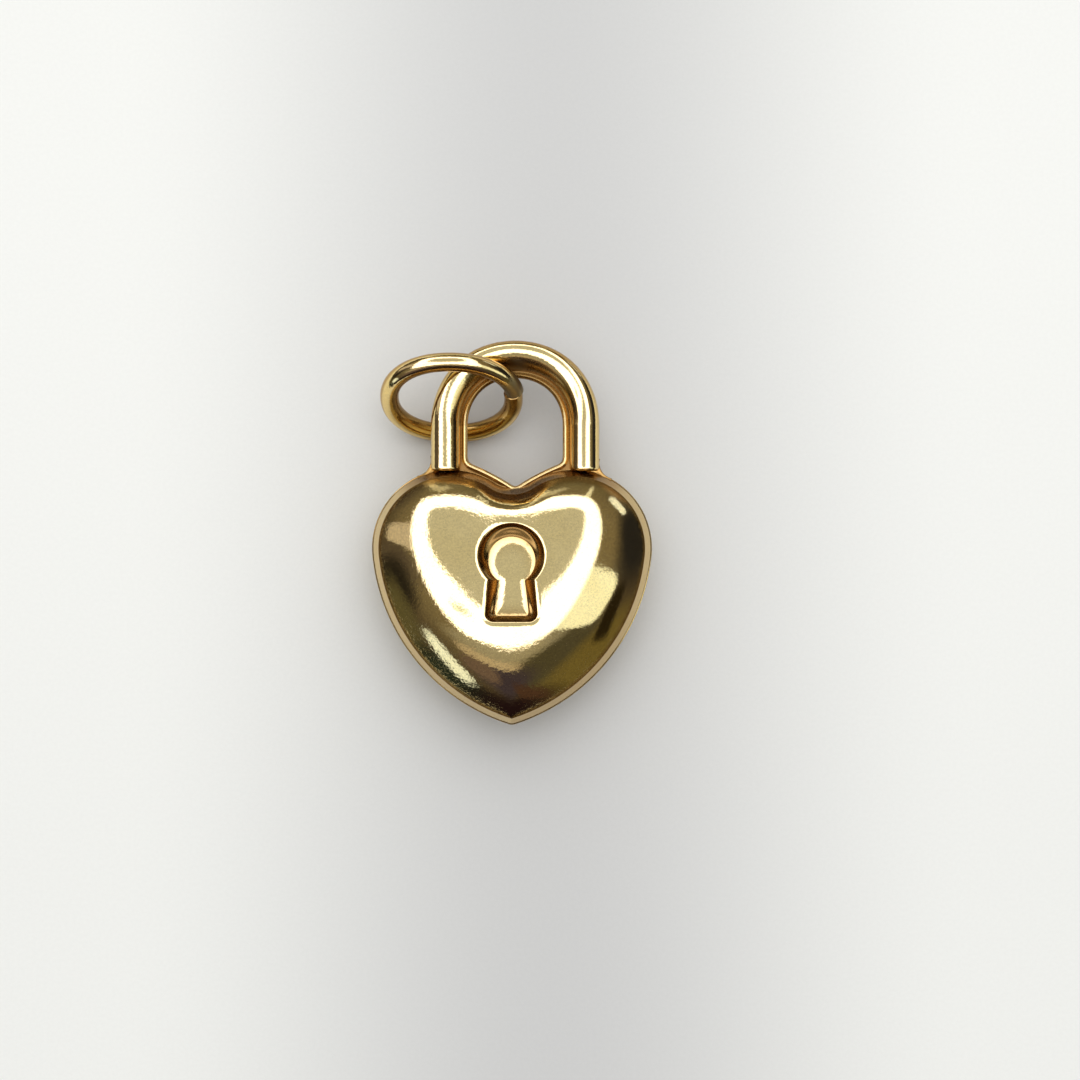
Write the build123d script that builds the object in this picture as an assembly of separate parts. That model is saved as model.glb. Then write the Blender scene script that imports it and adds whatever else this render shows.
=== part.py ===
from build123d import *
from math import asin, atan2, degrees, hypot, radians, sin, sqrt, tan
import os

# A puffed heart padlock pendant with an oval jump ring, lying on its back on a level surface.
# Millimetres. +Z is up, +Y runs from the heart's tip to the shackle, +X is to the right seen from above.
# The heart is drawn about its own middle, a point on its axis of symmetry just below the keyhole's waist,
# and everything is moved at the end so that the origin is under the middle of the whole pendant.

# The heart's outline, seen from above
heart_width = 15.0
lobe_radius = 4.24          # the two upper lobes
lobe_rise = 1.71            # from the heart's middle up to the lobes' centres
side_radius = 10.6          # the long flanks that run down to the tip
tip_depth = 7.76            # from the heart's middle down to the tip
tip_radius = 0.50
notch_radius = 1.72         # rounding of the notch between the lobes

# The heart's thickness: two equal struck halves that meet at a seam
wall_height = 1.00          # steep side wall, from the seam to the dome's edge
wall_width = 0.42           # how far the wall leans in over that height
dome_rise = 2.20            # from the dome's edge to the crown
shoulder_radius = 0.94      # what is left of the lobes' rounding where the crown begins
sheet = 0.50                # thickness of the struck metal round the sealed hollow

# The keyhole pressed into the front: its mouth, and its flat floor
keyhole_depth = 1.05        # from the crown down to the floor
keyhole_slope = 0.50        # height of the wall's sloping foot; above it the wall stands straight
mouth_head_radius = 1.755
mouth_head_rise = 1.31      # from the heart's middle up to the round head's centre
mouth_waist = 2.46          # width where the head meets the foot
mouth_foot = 2.86           # width of the flared foot at its bottom
mouth_foot_depth = 2.17     # from the heart's middle down to the foot's bottom edge
mouth_corner = 0.45         # rounding of the foot's two corners
floor_head_radius = 1.26
floor_head_rise = 1.07
floor_waist = 1.40
floor_foot = 1.86
floor_foot_depth = 1.83
floor_corner = 0.12

# The shackle: a round bar bent to a U, with a thin web inside it
bar_diameter = 1.60
shackle_width = 9.02        # over the bar, leg to leg
shackle_height = 12.79      # from the heart's middle up to the outside of the arch
shackle_shift = 0.17        # the shackle sits a little to the right of the heart's axis
foot_gap = 0.06             # from the lobe's outline up to the bar's blunt end
foot_round = 0.30           # rounding of the bar's blunt ends
web_thickness = 0.50
web_reach = 0.33            # how far the web stands inside the bar
web_round = 0.18            # rounding of the web's free edge
web_slope = 27.0            # degrees, the web's two edges that run down to the notch
web_corner = 0.30           # rounding where a sloping edge meets a leg
shoulder_fillet = 0.85      # rounding outside, where a leg meets a lobe

# The jump ring: round wire bent to an oval with a butted joint, through the shackle
wire_diameter = 0.94
ring_length = 7.66          # over the wire, the long way
ring_breadth = 6.88         # over the wire, the short way
ring_clearance = 0.70       # under the ring's upper side, over the bar's top: it sets the ring's lean
ring_aside = 0.29           # the ring's middle is this far inside the left leg
ring_up = 1.42              # and this far above the arch's centre
joint_gap = 0.04            # between the wire's two butted ends

# The dome's sections from its edge in to its shoulder. Inset and rise are shares of dome_inset and dome_rise,
# and tip rounding is a share of side_radius.
DOME_SECTIONS = (
    # inset, rise, tip rounding
    (0.00, 0.00, 0.012),
    (0.13, 0.18, 0.050),
    (0.29, 0.36, 0.090),
    (0.45, 0.50, 0.140),
    (0.72, 0.68, 0.200),
    (1.00, 0.81, 0.250),
)
# The crown is the shoulder's section drawn together about the heart's middle. The last one is a small flat,
# which the keyhole takes in front and on which the pendant lies behind.
CROWN_SECTIONS = (
    # size, rise
    (0.72, 0.92),
    (0.42, 1.00),
)

same_place = 1e-6           # two points nearer than this are one

# What follows from the sizes above
half_thickness = wall_height + dome_rise
bar_radius = bar_diameter / 2
wire_radius = wire_diameter / 2
dome_inset = lobe_radius - wall_width - shoulder_radius
lobe_x = heart_width / 2 - lobe_radius
notch_y = lobe_rise + sqrt((lobe_radius + notch_radius) ** 2 - lobe_x**2)
notch_rise = notch_y - notch_radius
arch_radius = shackle_width / 2 - bar_radius
arch_y = shackle_height - shackle_width / 2
middle_y = (tip_depth - shackle_height) / 2


def side_centre():
    """Centre of the right flank's arc, which touches the right lobe and the tip's rounding from outside."""
    from_lobe = side_radius - lobe_radius
    from_tip = side_radius - tip_radius
    tip_y = tip_radius - tip_depth
    apart = hypot(lobe_x, lobe_rise - tip_y)
    along = (from_lobe**2 - from_tip**2 + apart**2) / (2 * apart)
    across = sqrt(from_lobe**2 - along**2)
    down_x = -lobe_x / apart
    down_y = (tip_y - lobe_rise) / apart
    return (lobe_x + along * down_x + across * down_y, lobe_rise + along * down_y - across * down_x)


side_x, side_y = side_centre()


def heart_face(inset, tip_round):
    """The heart's outline moved in by inset, as a face of six arcs at height zero."""
    flank = side_radius - inset
    lobe = lobe_radius - inset
    notch = notch_radius + inset
    tip_y = side_y - sqrt((flank - tip_round) ** 2 - side_x**2)
    tip_angle = degrees(atan2(tip_y - side_y, -side_x))
    lobe_angle = degrees(atan2(lobe_rise - side_y, lobe_x - side_x))
    notch_angle = degrees(atan2(notch_y - lobe_rise, -lobe_x))
    right = [
        CenterArc((side_x, side_y), flank, tip_angle, lobe_angle - tip_angle),
        CenterArc((lobe_x, lobe_rise), lobe, lobe_angle, notch_angle - lobe_angle),
    ]
    left = [
        CenterArc((-lobe_x, lobe_rise), lobe, 180 - notch_angle, notch_angle - lobe_angle),
        CenterArc((-side_x, side_y), flank, 180 - lobe_angle, lobe_angle - tip_angle),
    ]
    valley = CenterArc((0, notch_y), notch, notch_angle - 180, 180 - 2 * notch_angle)
    tip = CenterArc((0, tip_y), tip_round, 180 - tip_angle, 2 * tip_angle + 180)
    return Face(Wire([tip.edge(), *[e.edge() for e in right], valley.edge(), *[e.edge() for e in left]]))


def half_heart(wall):
    """One half of the heart above the seam at height zero, moved in by wall all over: 0 is the outside."""
    squash = (half_thickness - wall) / half_thickness
    seam = heart_face(wall, tip_radius)
    dome = []
    for inset, rise, tip_round in DOME_SECTIONS:
        face = heart_face(wall_width + wall + inset * dome_inset, tip_round * side_radius)
        dome.append(Pos(0, 0, (wall_height + rise * dome_rise) * squash) * face)
    crown = [dome[-1]]
    for size, rise in CROWN_SECTIONS:
        lift = (wall_height + rise * dome_rise) * squash
        crown.append(Pos(0, 0, lift) * scale(Pos(0, 0, -dome[-1].center().Z) * dome[-1], size))
    return loft([seam, dome[0]], ruled=True) + loft(dome) + loft(crown, ruled=True)


def keyhole_face(head_radius, head_rise, waist, foot, foot_depth, corner):
    """A round head over a flared foot with rounded corners, as a face at height zero."""
    waist_y = head_rise - sqrt(head_radius**2 - waist**2 / 4)
    foot_line = FilletPolyline(
        (waist / 2, waist_y),
        (foot / 2, -foot_depth),
        (-foot / 2, -foot_depth),
        (-waist / 2, waist_y),
        radius=corner,
    )
    head = ThreePointArc((-waist / 2, waist_y), (0, head_rise + head_radius), (waist / 2, waist_y))
    return Face(Wire([*foot_line.edges(), head.edge()]))


def keyhole_block(wall):
    """What the keyhole takes out of the front, from its floor to above the crown, grown by wall all over."""
    floor_z = half_thickness - keyhole_depth
    floor = keyhole_face(
        floor_head_radius + wall,
        floor_head_rise,
        floor_waist + 2 * wall,
        floor_foot + 2 * wall,
        floor_foot_depth + wall,
        floor_corner + wall,
    )
    mouth = keyhole_face(
        mouth_head_radius + wall,
        mouth_head_rise,
        mouth_waist + 2 * wall,
        mouth_foot + 2 * wall,
        mouth_foot_depth + wall,
        mouth_corner + wall,
    )
    slope = loft([Pos(0, 0, floor_z - wall) * floor, Pos(0, 0, floor_z + keyhole_slope) * mouth], ruled=True)
    return slope + Pos(0, 0, floor_z + keyhole_slope) * extrude(mouth, keyhole_depth, dir=(0, 0, 1))


def shackle_web():
    """The thin plate at the seam: it stands web_reach inside the bar and runs down to the notch."""
    leg_x = arch_radius - bar_radius - web_reach
    drop = leg_x * tan(radians(web_slope))
    opening_sides = FilletPolyline(
        (-leg_x, arch_y),
        (-leg_x, notch_rise + drop),
        (0, notch_rise),
        (leg_x, notch_rise + drop),
        (leg_x, arch_y),
        radius=web_corner,
    )
    opening = Face(Wire([*opening_sides.edges(), CenterArc((0, arch_y), leg_x, 0, 180).edge()]))
    legs = Pos(0, (arch_y + lobe_rise) / 2) * Rectangle(2 * arch_radius, arch_y - lobe_rise)
    blank = legs + Pos(0, arch_y) * Circle(arch_radius) - opening
    plate = extrude(blank, web_thickness / 2, both=True)
    edge = opening.outer_wire()
    rims = [Pos(0, 0, side * web_thickness / 2) * edge for side in (-1, 1)]
    free = [e for e in plate.edges() if any(rim.distance_to(e @ 0.5) < same_place for rim in rims)]
    return Pos(shackle_shift, 0, 0) * fillet(free, web_round)


def shoulder_corner(side):
    """The rounded corner of web between a leg's outside and its lobe: side 1 is the right, -1 the left."""
    leg_x = side * shackle_shift + shackle_width / 2
    round_x = leg_x + shoulder_fillet
    reach = lobe_radius + shoulder_fillet
    round_y = lobe_rise + sqrt(reach**2 - (round_x - lobe_x) ** 2)
    touch_x = lobe_x + (round_x - lobe_x) * lobe_radius / reach
    inner_x = leg_x - bar_radius
    block = Rectangle(touch_x - inner_x, round_y - lobe_rise, align=(Align.MIN, Align.MIN))
    corner = Pos(inner_x, lobe_rise) * block - Pos(round_x, round_y) * Circle(shoulder_fillet)
    corner = extrude(corner, web_thickness / 2, both=True)
    return corner if side > 0 else mirror(corner, about=Plane.YZ)


def shackle_bar():
    """The round bar: a half ring between two straight legs with blunt, rounded ends."""
    foot_y = lobe_rise + lobe_radius + foot_gap
    path = Wire(
        [
            Line((arch_radius, foot_y), (arch_radius, arch_y)).edge(),
            CenterArc((0, arch_y), arch_radius, 0, 180).edge(),
            Line((-arch_radius, arch_y), (-arch_radius, foot_y)).edge(),
        ]
    )
    bar = sweep(Plane((arch_radius, foot_y, 0), z_dir=(0, 1, 0)) * Circle(bar_radius), path=path)
    ends = bar.edges().group_by(Axis.Y)[0]
    return Pos(shackle_shift, 0, 0) * fillet(ends, foot_round)


def heart_padlock():
    """The whole soldered piece: both heart halves round a sealed hollow, shackle bar and web."""
    outside = half_heart(0)
    inside = half_heart(sheet)
    front = outside - keyhole_block(0)
    hollow = inside - keyhole_block(sheet) + mirror(inside, about=Plane.XY)
    body = front + mirror(outside, about=Plane.XY)
    body = body + shackle_web() + shackle_bar() + shoulder_corner(1) + shoulder_corner(-1)
    return body - hollow


def jump_ring():
    """The oval ring round the shackle's left leg, leaning from the surface up over the bar."""
    end_radius = ring_breadth / 2 - wire_radius
    lean = degrees(asin((half_thickness + bar_radius + ring_clearance) / (2 * end_radius)))
    half_straight = ring_length / 2 - wire_radius - end_radius
    cut = degrees(joint_gap / 2 / end_radius)
    path = Wire(
        [
            CenterArc((half_straight, 0), end_radius, cut, 90 - cut).edge(),
            Line((half_straight, end_radius), (-half_straight, end_radius)).edge(),
            CenterArc((-half_straight, 0), end_radius, 90, 180).edge(),
            Line((-half_straight, -end_radius), (half_straight, -end_radius)).edge(),
            CenterArc((half_straight, 0), end_radius, 270, 90 - cut).edge(),
        ]
    )
    start = Plane(path @ 0, z_dir=path % 0)
    wire = sweep(start * Circle(wire_radius), path=path)
    lift = wire_radius + end_radius * sin(radians(lean))
    return Pos(shackle_shift - arch_radius + ring_aside, arch_y + ring_up, lift) * Rot(lean, 0, 0) * wire


os.makedirs("parts", exist_ok=True)
pendant_middle = Pos(0, middle_y, 0)
export_step(pendant_middle * Pos(0, 0, half_thickness) * heart_padlock(), "parts/heart_padlock.step")
export_step(pendant_middle * jump_ring(), "parts/jump_ring.step")
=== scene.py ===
"""Puffed heart padlock pendant with an oval jump ring, photographed from straight above on pale paper.

The heart is drawn in millimetres about its own middle, a point on its axis just below the keyhole's waist.
Heights are measured from the seam between its struck halves. `place` moves such points into the row frame."""

import math
from types import SimpleNamespace

import bpy
import numpy as np
from bpy.props import FloatProperty, FloatVectorProperty, PointerProperty
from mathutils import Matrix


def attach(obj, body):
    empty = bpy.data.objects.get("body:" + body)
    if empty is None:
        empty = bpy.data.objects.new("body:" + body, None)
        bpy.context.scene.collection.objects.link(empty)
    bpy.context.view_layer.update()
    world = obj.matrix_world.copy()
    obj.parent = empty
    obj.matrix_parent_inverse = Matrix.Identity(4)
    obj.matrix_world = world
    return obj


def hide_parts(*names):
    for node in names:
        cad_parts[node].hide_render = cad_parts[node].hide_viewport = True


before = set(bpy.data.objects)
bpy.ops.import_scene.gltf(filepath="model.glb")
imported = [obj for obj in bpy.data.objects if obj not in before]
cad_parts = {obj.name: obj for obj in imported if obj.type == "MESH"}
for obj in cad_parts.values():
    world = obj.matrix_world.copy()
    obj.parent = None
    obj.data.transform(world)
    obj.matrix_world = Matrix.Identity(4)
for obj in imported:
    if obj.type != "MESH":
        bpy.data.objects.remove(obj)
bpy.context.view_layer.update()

bl_info = {
    "name": "Heart padlock pendant",
    "version": (1, 0, 0),
    "blender": (4, 5, 0),
    "location": "3D View > Sidebar > Pendant",
    "description": "Builds a puffed heart padlock with a pressed keyhole, its shackle and its jump ring",
    "category": "Add Mesh",
}

MM = 0.001
SEAM_HEIGHT = 3.20      # the seam lies this far above the surface, in mm
MIDDLE_Y = -2.515       # the heart's middle in the row frame, in mm
EDGE_TIP = 0.02         # rounding of the tip where the dome begins, in mm: almost a point
HEART_POINTS, WEB_POINTS, BAR_POINTS = 640, 360, 72     # points on one loop of each
SHADE_AND_WEAR_KINDS = ("shade_and_grime", "scuff")         # the attributes that hold mostly painted shade, and dull grey wear, from 0 to 1


# ---- Sizes and colours ----

def length(name, description, mm):
    """A length property. Its default is given in millimetres and kept in metres."""
    return FloatProperty(name=name, description=description, default=mm * MM, unit="LENGTH", precision=5)


def number(name, description, value):
    """A plain number, such as a slope or a share."""
    return FloatProperty(name=name, description=description, default=value)


def tint(name, description, rgb):
    """A colour property."""
    return FloatVectorProperty(name=name, description=description, subtype="COLOR", size=3, default=rgb,
                               min=0, max=1)


class HeartSizes(bpy.types.PropertyGroup):
    width: length("Width", "Over the two lobes", 15.0)
    lobe_radius: length("Lobe radius", "Radius of the two upper lobes", 4.24)
    lobe_rise: length("Lobe rise", "From the heart's middle up to the lobes' centres", 1.71)
    side_radius: length("Side radius", "Radius of the long flanks", 10.6)
    tip_depth: length("Tip depth", "From the heart's middle down to the tip", 7.76)
    tip_radius: length("Tip radius", "Rounding of the tip at the seam", 0.50)
    notch_radius: length("Notch radius", "Rounding of the notch between the lobes", 1.72)
    wall_height: length("Wall height", "Steep wall from the seam to the dome's edge", 1.074)
    wall_width: length("Wall lean", "How far the wall leans in over its height", 0.42)
    bead_height: length("Seam bead", "Half the height of the raised bead along the seam", 0.17)
    edge_reach: length("Edge reach", "How far in from the dome's edge its steep part dies away", 1.547)
    ease: number("Edge ease", "Rise over run taken off right at the dome's edge", 0.23)
    ease_reach: length("Ease reach", "How far in from the edge that dies away", 0.35)
    crown_start: length("Crown start", "Inset where the dome begins to level off", 0.795)
    crown_end: length("Crown end", "Inset where the dome is level", 5.304)
    edge_slope: number("Edge slope", "Rise over run added at the dome's edge", 0.5486)
    crown_slope: number("Crown slope", "Rise over run before the crown levels", 0.5569)
    lobe_sink: length("Lobe sink", "How much lower the front lies at the lobes than at the flanks", 0.5435)
    sink_start: length("Sink start", "Height along the axis where that begins", -3.357)
    sink_run: length("Sink run", "Length over which it grows", 6.978)
    sink_reach: length("Sink reach", "Inset over which it grows", 2.460)
    ridge: length("Ridge", "Height of the low ridge that runs out into the notch", 1.3008)
    ridge_width: length("Ridge width", "Half width of the ridge", 1.573)
    ridge_start: length("Ridge start", "Height along the axis where the ridge begins", 2.697)
    ridge_run: length("Ridge run", "Length over which the ridge grows", 4.0)
    ridge_reach: length("Ridge reach", "Inset over which the ridge grows", 0.6)


class KeyholeSizes(bpy.types.PropertyGroup):
    depth: length("Depth", "From the crown down to the floor", 1.05)
    lip_radius: length("Lip radius", "Soft outer rounding of the mouth's edge", 0.75)
    lip_edge: length("Lip edge", "Tight inner rounding of the mouth's edge", 0.12)
    floor_fall: number("Floor fall", "How steeply the floor falls towards the notch", 0.13)
    bowl: length("Bowl", "How much the floor's border curves up", 0.105)
    bowl_width: length("Bowl width", "Width of that border", 0.62)
    mouth_head_radius: length("Mouth head radius", "Round head at the mouth", 1.755)
    mouth_head_rise: length("Mouth head rise", "From the heart's middle to that head's centre", 1.31)
    mouth_waist: length("Mouth waist", "Width where the head meets the foot", 2.46)
    mouth_foot: length("Mouth foot", "Width of the flared foot", 2.86)
    mouth_foot_depth: length("Mouth foot depth", "From the heart's middle to the foot's edge", 2.17)
    mouth_corner: length("Mouth corner", "Rounding of the foot's corners", 0.45)
    floor_head_radius: length("Floor head radius", "Round head at the floor", 1.26)
    floor_head_rise: length("Floor head rise", "From the heart's middle to that head's centre", 1.07)
    floor_waist: length("Floor waist", "Width where the head meets the foot", 1.40)
    floor_foot: length("Floor foot", "Width of the flared foot", 1.86)
    floor_foot_depth: length("Floor foot depth", "From the heart's middle to the foot's edge", 1.83)
    floor_corner: length("Floor corner", "Rounding of the foot's corners", 0.20)


class ShackleSizes(bpy.types.PropertyGroup):
    bar: length("Bar", "Diameter of the round bar", 1.60)
    width: length("Width", "Over the bar, leg to leg", 9.02)
    height: length("Height", "From the heart's middle to the outside of the arch", 12.79)
    shift: length("Shift", "How far the shackle sits to the right of the heart's axis", 0.17)
    foot_gap: length("Foot gap", "From the lobe's top up to the bar's end, less than 0 to sink it in", -0.13)
    foot_round: length("Foot rounding", "Rounding of the bar's blunt ends", 0.18)
    web: length("Web", "Thickness of the web at its free edge", 0.50)
    web_reach: length("Web reach", "How far the web stands inside the bar", 0.37)
    web_edge: length("Web edge", "Rounding of the web's free edge", 0.15)
    web_corner: length("Web corner", "Rounding where a sloping edge meets a leg", 0.30)
    shoulder: length("Shoulder", "Rounding outside, where a leg meets a lobe", 0.85)
    notch_rise: length("Notch rise", "From the heart's middle up to the notch", 4.979)
    corner_rise: length("Corner rise", "From the heart's middle up to the web's lower corners", 6.294)
    squareness: number("Squareness", "How far the arch bulges at its quarters", 0.018)
    flatness: number("Flatness", "2 for a round bar, more for a flatter crest", 2.2)
    dish: number("Dish", "How steeply the arch's section rises outward at its top", 0.40)


class RingSizes(bpy.types.PropertyGroup):
    wire: length("Wire", "Diameter of the round wire", 1.00)
    long_way: length("Length", "Over the wire, the long way", 7.66)
    short_way: length("Breadth", "Over the wire, the short way", 6.88)
    clearance: length("Clearance", "Under the upper side, over the bar", 0.70)
    aside: length("Aside", "From the left leg in to the ring's middle", 0.29)
    up: length("Up", "From the arch's centre up to the ring's middle", 1.47)
    oval: number("Oval", "2 for an ellipse, more for a squarer oval", 2.15)
    joint: length("Joint", "Between the two cut ends", 0.04)
    joint_turn: FloatProperty(
        name="Joint turn", description="How far round the oval the joint lies past its right end",
        subtype="ANGLE", default=0.16)
    overshoot: length("Overshoot", "How far the upper end misses the lower one", 0.10)


class GoldLook(bpy.types.PropertyGroup):
    colour: tint("Gold", "Reflected colour of the polished gold", (1.0, 0.77, 0.34))
    tarnish: tint("Tarnish", "Colour of the dull grey specks", (0.22, 0.20, 0.13))
    # painted shade: the deep brown that the gold takes where shade_and_grime is strongest
    shade_and_grime: tint("Grime", "Colour of the dirt in the deep corners", (0.085, 0.035, 0.008))
    # painted shade: the amber that the gold takes at half shade_and_grime, also painted on the ring joint's
    # lower end
    amber_tone: tint("Amber bloom", "Colour of thinner dirt", (0.46, 0.26, 0.065))
    film: tint("Film", "Colour of the thin uneven film on the gold", (0.62, 0.47, 0.23))


class StageLook(bpy.types.PropertyGroup):
    paper: tint("Paper", "Colour of the paper", (0.925, 0.93, 0.895))
    # painted shadow: the colour of the broad greyer band on the paper
    paper_shadow_band: tint("Paper band", "Colour of the greyer band", (0.66, 0.66, 0.65))
    # painted shade in the reflections: the share of the paper's brightness that the gold mirrors
    paper_mirrored: number("Mirrored paper", "How bright the paper looks in the gold, as a share", 0.95)
    daylight: number("Daylight", "Soft light that falls on the paper", 1.0)
    camera_right: length("Camera right", "From the row frame's middle to the camera, sideways", 1.50)
    camera_up: length("Camera up", "The same towards the shackle", -0.375)
    camera_height: length("Camera height", "From the paper up to the camera", 126.03)
    camera_lens: number("Camera lens", "Focal length for a sensor 36 mm wide", 76.45)


def in_mm(group):
    """The group's values by name, with every length turned to millimetres."""
    values = {}
    for name, prop in group.bl_rna.properties.items():
        if name not in ("rna_type", "name"):
            value = getattr(group, name)
            values[name] = value / MM if getattr(prop, "unit", "NONE") == "LENGTH" else value
    return SimpleNamespace(**values)


# ---- Curves in the plane, as distance from a middle for each direction ----

def smooth(t):
    """3t^2 - 2t^3, with t held between 0 and 1."""
    t = np.clip(t, 0, 1)
    return t * t * (3 - 2 * t)


def far_hit(dx, dy, cx, cy, radius):
    """Distance from the origin along the ray (dx, dy) to a circle's far side: p + sqrt(p^2 - c^2 + r^2)."""
    p = dx * cx + dy * cy
    return p + np.sqrt(np.maximum(p * p - cx * cx - cy * cy + radius * radius, 0))


def near_hit(dx, dy, cx, cy, radius):
    """The same to its near side: p - sqrt(p^2 - c^2 + r^2)."""
    p = dx * cx + dy * cy
    return p - np.sqrt(np.maximum(p * p - cx * cx - cy * cy + radius * radius, 0))


def turn_of(x, y):
    """The angle of a point, clockwise from straight up."""
    return math.atan2(x, y)


class Heart:
    """The heart's outline: a notch arc, two lobes, two flanks and a tip, each touching the next."""

    def __init__(self, s):
        self.s = s
        self.lobe_x = s.width / 2 - s.lobe_radius
        self.notch_y = s.lobe_rise + math.sqrt((s.lobe_radius + s.notch_radius) ** 2 - self.lobe_x**2)
        from_lobe, from_tip = s.side_radius - s.lobe_radius, s.side_radius - s.tip_radius
        tip_y = s.tip_radius - s.tip_depth
        apart = math.hypot(self.lobe_x, s.lobe_rise - tip_y)
        along = (from_lobe**2 - from_tip**2 + apart**2) / (2 * apart)
        across = math.sqrt(from_lobe**2 - along**2)
        down_x, down_y = -self.lobe_x / apart, (tip_y - s.lobe_rise) / apart
        self.side_x = self.lobe_x + along * down_x + across * down_y
        self.side_y = s.lobe_rise + along * down_y - across * down_x

    def radius(self, angle, inset, tip_round):
        """Distance from the heart's middle to its outline moved in by inset, for angles from -pi to pi."""
        s = self.s
        dx, dy = np.abs(np.sin(angle)), np.cos(angle)
        flank, lobe, notch = s.side_radius - inset, s.lobe_radius - inset, s.notch_radius + inset
        tip_y = self.side_y - math.sqrt((flank - tip_round) ** 2 - self.side_x**2)
        to_notch = math.hypot(self.lobe_x, self.notch_y - s.lobe_rise)
        notch_end = turn_of(self.lobe_x * (1 - lobe / to_notch),
                            s.lobe_rise + (self.notch_y - s.lobe_rise) * lobe / to_notch)
        out = math.hypot(self.lobe_x - self.side_x, s.lobe_rise - self.side_y)
        lobe_end = turn_of(self.side_x + (self.lobe_x - self.side_x) * flank / out,
                           self.side_y + (s.lobe_rise - self.side_y) * flank / out)
        down = math.hypot(self.side_x, tip_y - self.side_y)
        tip_start = turn_of(self.side_x - self.side_x * flank / down,
                            self.side_y + (tip_y - self.side_y) * flank / down)
        turn = np.abs(angle)
        return np.select(
            [turn < notch_end, turn < lobe_end, turn < tip_start],
            [near_hit(dx, dy, 0, self.notch_y, notch),
             far_hit(dx, dy, self.lobe_x, s.lobe_rise, lobe),
             far_hit(dx, dy, self.side_x, self.side_y, flank)],
            far_hit(dx, dy, 0, tip_y, tip_round))

    def inset(self, x, y):
        """How far a point lies inside the outline."""
        s, x = self.s, np.abs(x)
        flank = s.side_radius - np.hypot(x - self.side_x, y - self.side_y)
        lobe = s.lobe_radius - np.hypot(x - self.lobe_x, y - s.lobe_rise)
        notch = np.hypot(x, y - self.notch_y) - s.notch_radius
        way = np.arctan2(y - s.lobe_rise, x - self.lobe_x)
        first = math.atan2(s.lobe_rise - self.side_y, self.lobe_x - self.side_x)
        last = math.atan2(self.notch_y - s.lobe_rise, -self.lobe_x)
        return np.where((way > first) & (way < last), lobe, np.minimum(flank, notch))

    def edge_points(self):
        """Points about a hundredth of a millimetre apart along the dome's edge, and the length that each
        stands for."""
        count = 4000
        turn = (np.arange(count) + 0.5) / count * 2 * np.pi - np.pi
        step = np.pi / count
        ends = [self.radius(turn + way * step, self.s.wall_width, EDGE_TIP) for way in (-1, 1)]
        ends = [np.c_[r * np.sin(turn + way * step), r * np.cos(turn + way * step)]
                for r, way in zip(ends, (-1, 1))]
        return (ends[0] + ends[1]) / 2, np.hypot(*(ends[1] - ends[0]).T)

    def soft_inset(self, x, y):
        """A smooth stand-in for the distance to the dome's edge: the sum along the edge of length /
        distance^3, to the power -1/2, scaled to be exact beside a straight edge."""
        points, lengths = self.edge_points()
        total = np.zeros(x.size)
        flat_x, flat_y = x.ravel(), y.ravel()
        batch = 4000
        for start in range(0, x.size, batch):
            part = slice(start, start + batch)
            apart = (flat_x[part, None] - points[:, 0]) ** 2 + (flat_y[part, None] - points[:, 1]) ** 2
            total[part] = (apart**-1.5 * lengths).sum(1)
        return np.sqrt(2 / total).reshape(x.shape)

    def rise(self, x, y, plain=False):
        """Height of the dome above its edge, for an inset d that is true at the edge and soft further in:
        edge slope * reach * (1 - exp(-d / reach)) + crown slope * d, levelled off from the crown's start to
        its end, less ease * its reach * (1 - exp(-d / its reach)), which makes the edge itself less steep.
        The front also sinks towards the lobes and has a low ridge that runs out into the notch."""
        s = self.s
        true = np.maximum(self.inset(x, y) - s.wall_width, 0)
        soft_from, soft_run = 0.05, 0.08
        further_in = smooth((true - soft_from) / soft_run)
        d = true * (1 - further_in) + self.soft_inset(x, y) * further_in
        span = s.crown_end - s.crown_start
        t = np.clip((d - s.crown_start) / span, 0, 1)
        level = np.minimum(d, s.crown_start) + span * (t - t**3 + t**4 / 2)
        height = s.edge_slope * s.edge_reach * (1 - np.exp(-d / s.edge_reach)) + s.crown_slope * level
        height -= s.ease * s.ease_reach * (1 - np.exp(-d / s.ease_reach))
        if plain:
            return height
        sink = smooth((y - s.sink_start) / s.sink_run) * (1 - np.exp(-(d / s.sink_reach) ** 2))
        ridge = (np.exp(-(x / s.ridge_width) ** 2) * smooth((y - s.ridge_start) / s.ridge_run)
                 * (1 - np.exp(-(d / s.ridge_reach) ** 2)))
        return height - s.lobe_sink * sink + s.ridge * ridge


def soften(radius, width):
    """A running mean of a closed loop over its neighbours, with the weights of a raised cosine that wide."""
    half, weights = width // 2, np.hanning(width)
    return np.convolve(np.r_[radius[-half:], radius, radius[:half]], weights / weights.sum(), "valid")


def keyhole_radius(angle, head_radius, head_rise, waist, foot, foot_depth, corner):
    """Distance from the heart's middle to a keyhole's outline: a round head, two straight sides, two rounded
    corners and a straight bottom. The crease at the waist is softened by a running mean over the angle."""
    dx, dy = np.abs(np.sin(angle)), np.cos(angle)
    waist_x, waist_y = waist / 2, head_rise - math.sqrt(head_radius**2 - waist**2 / 4)
    side = np.array([foot / 2 - waist_x, -foot_depth - waist_y])
    side /= np.hypot(*side)
    inward = np.array([side[1], -side[0]])
    corner_y = corner - foot_depth
    on_side = np.array([waist_x, waist_y]) + inward * corner
    corner_x = on_side[0] + side[0] * (corner_y - on_side[1]) / side[1]
    side_end = turn_of(corner_x - inward[0] * corner, corner_y - inward[1] * corner)
    bottom_start = turn_of(corner_x, -foot_depth)
    turn = np.abs(angle)
    with np.errstate(divide="ignore", invalid="ignore"):
        side_hit = (waist_x * side[1] - waist_y * side[0]) / (dx * side[1] - dy * side[0])
        bottom_hit = -foot_depth / dy
    radius = np.select(
        [turn < turn_of(waist_x, waist_y), turn < side_end, turn < bottom_start],
        [far_hit(dx, dy, 0, head_rise, head_radius), side_hit, far_hit(dx, dy, corner_x, corner_y, corner)],
        bottom_hit)
    return soften(radius, 11)


# ---- Surfaces from rows of points ----

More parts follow.
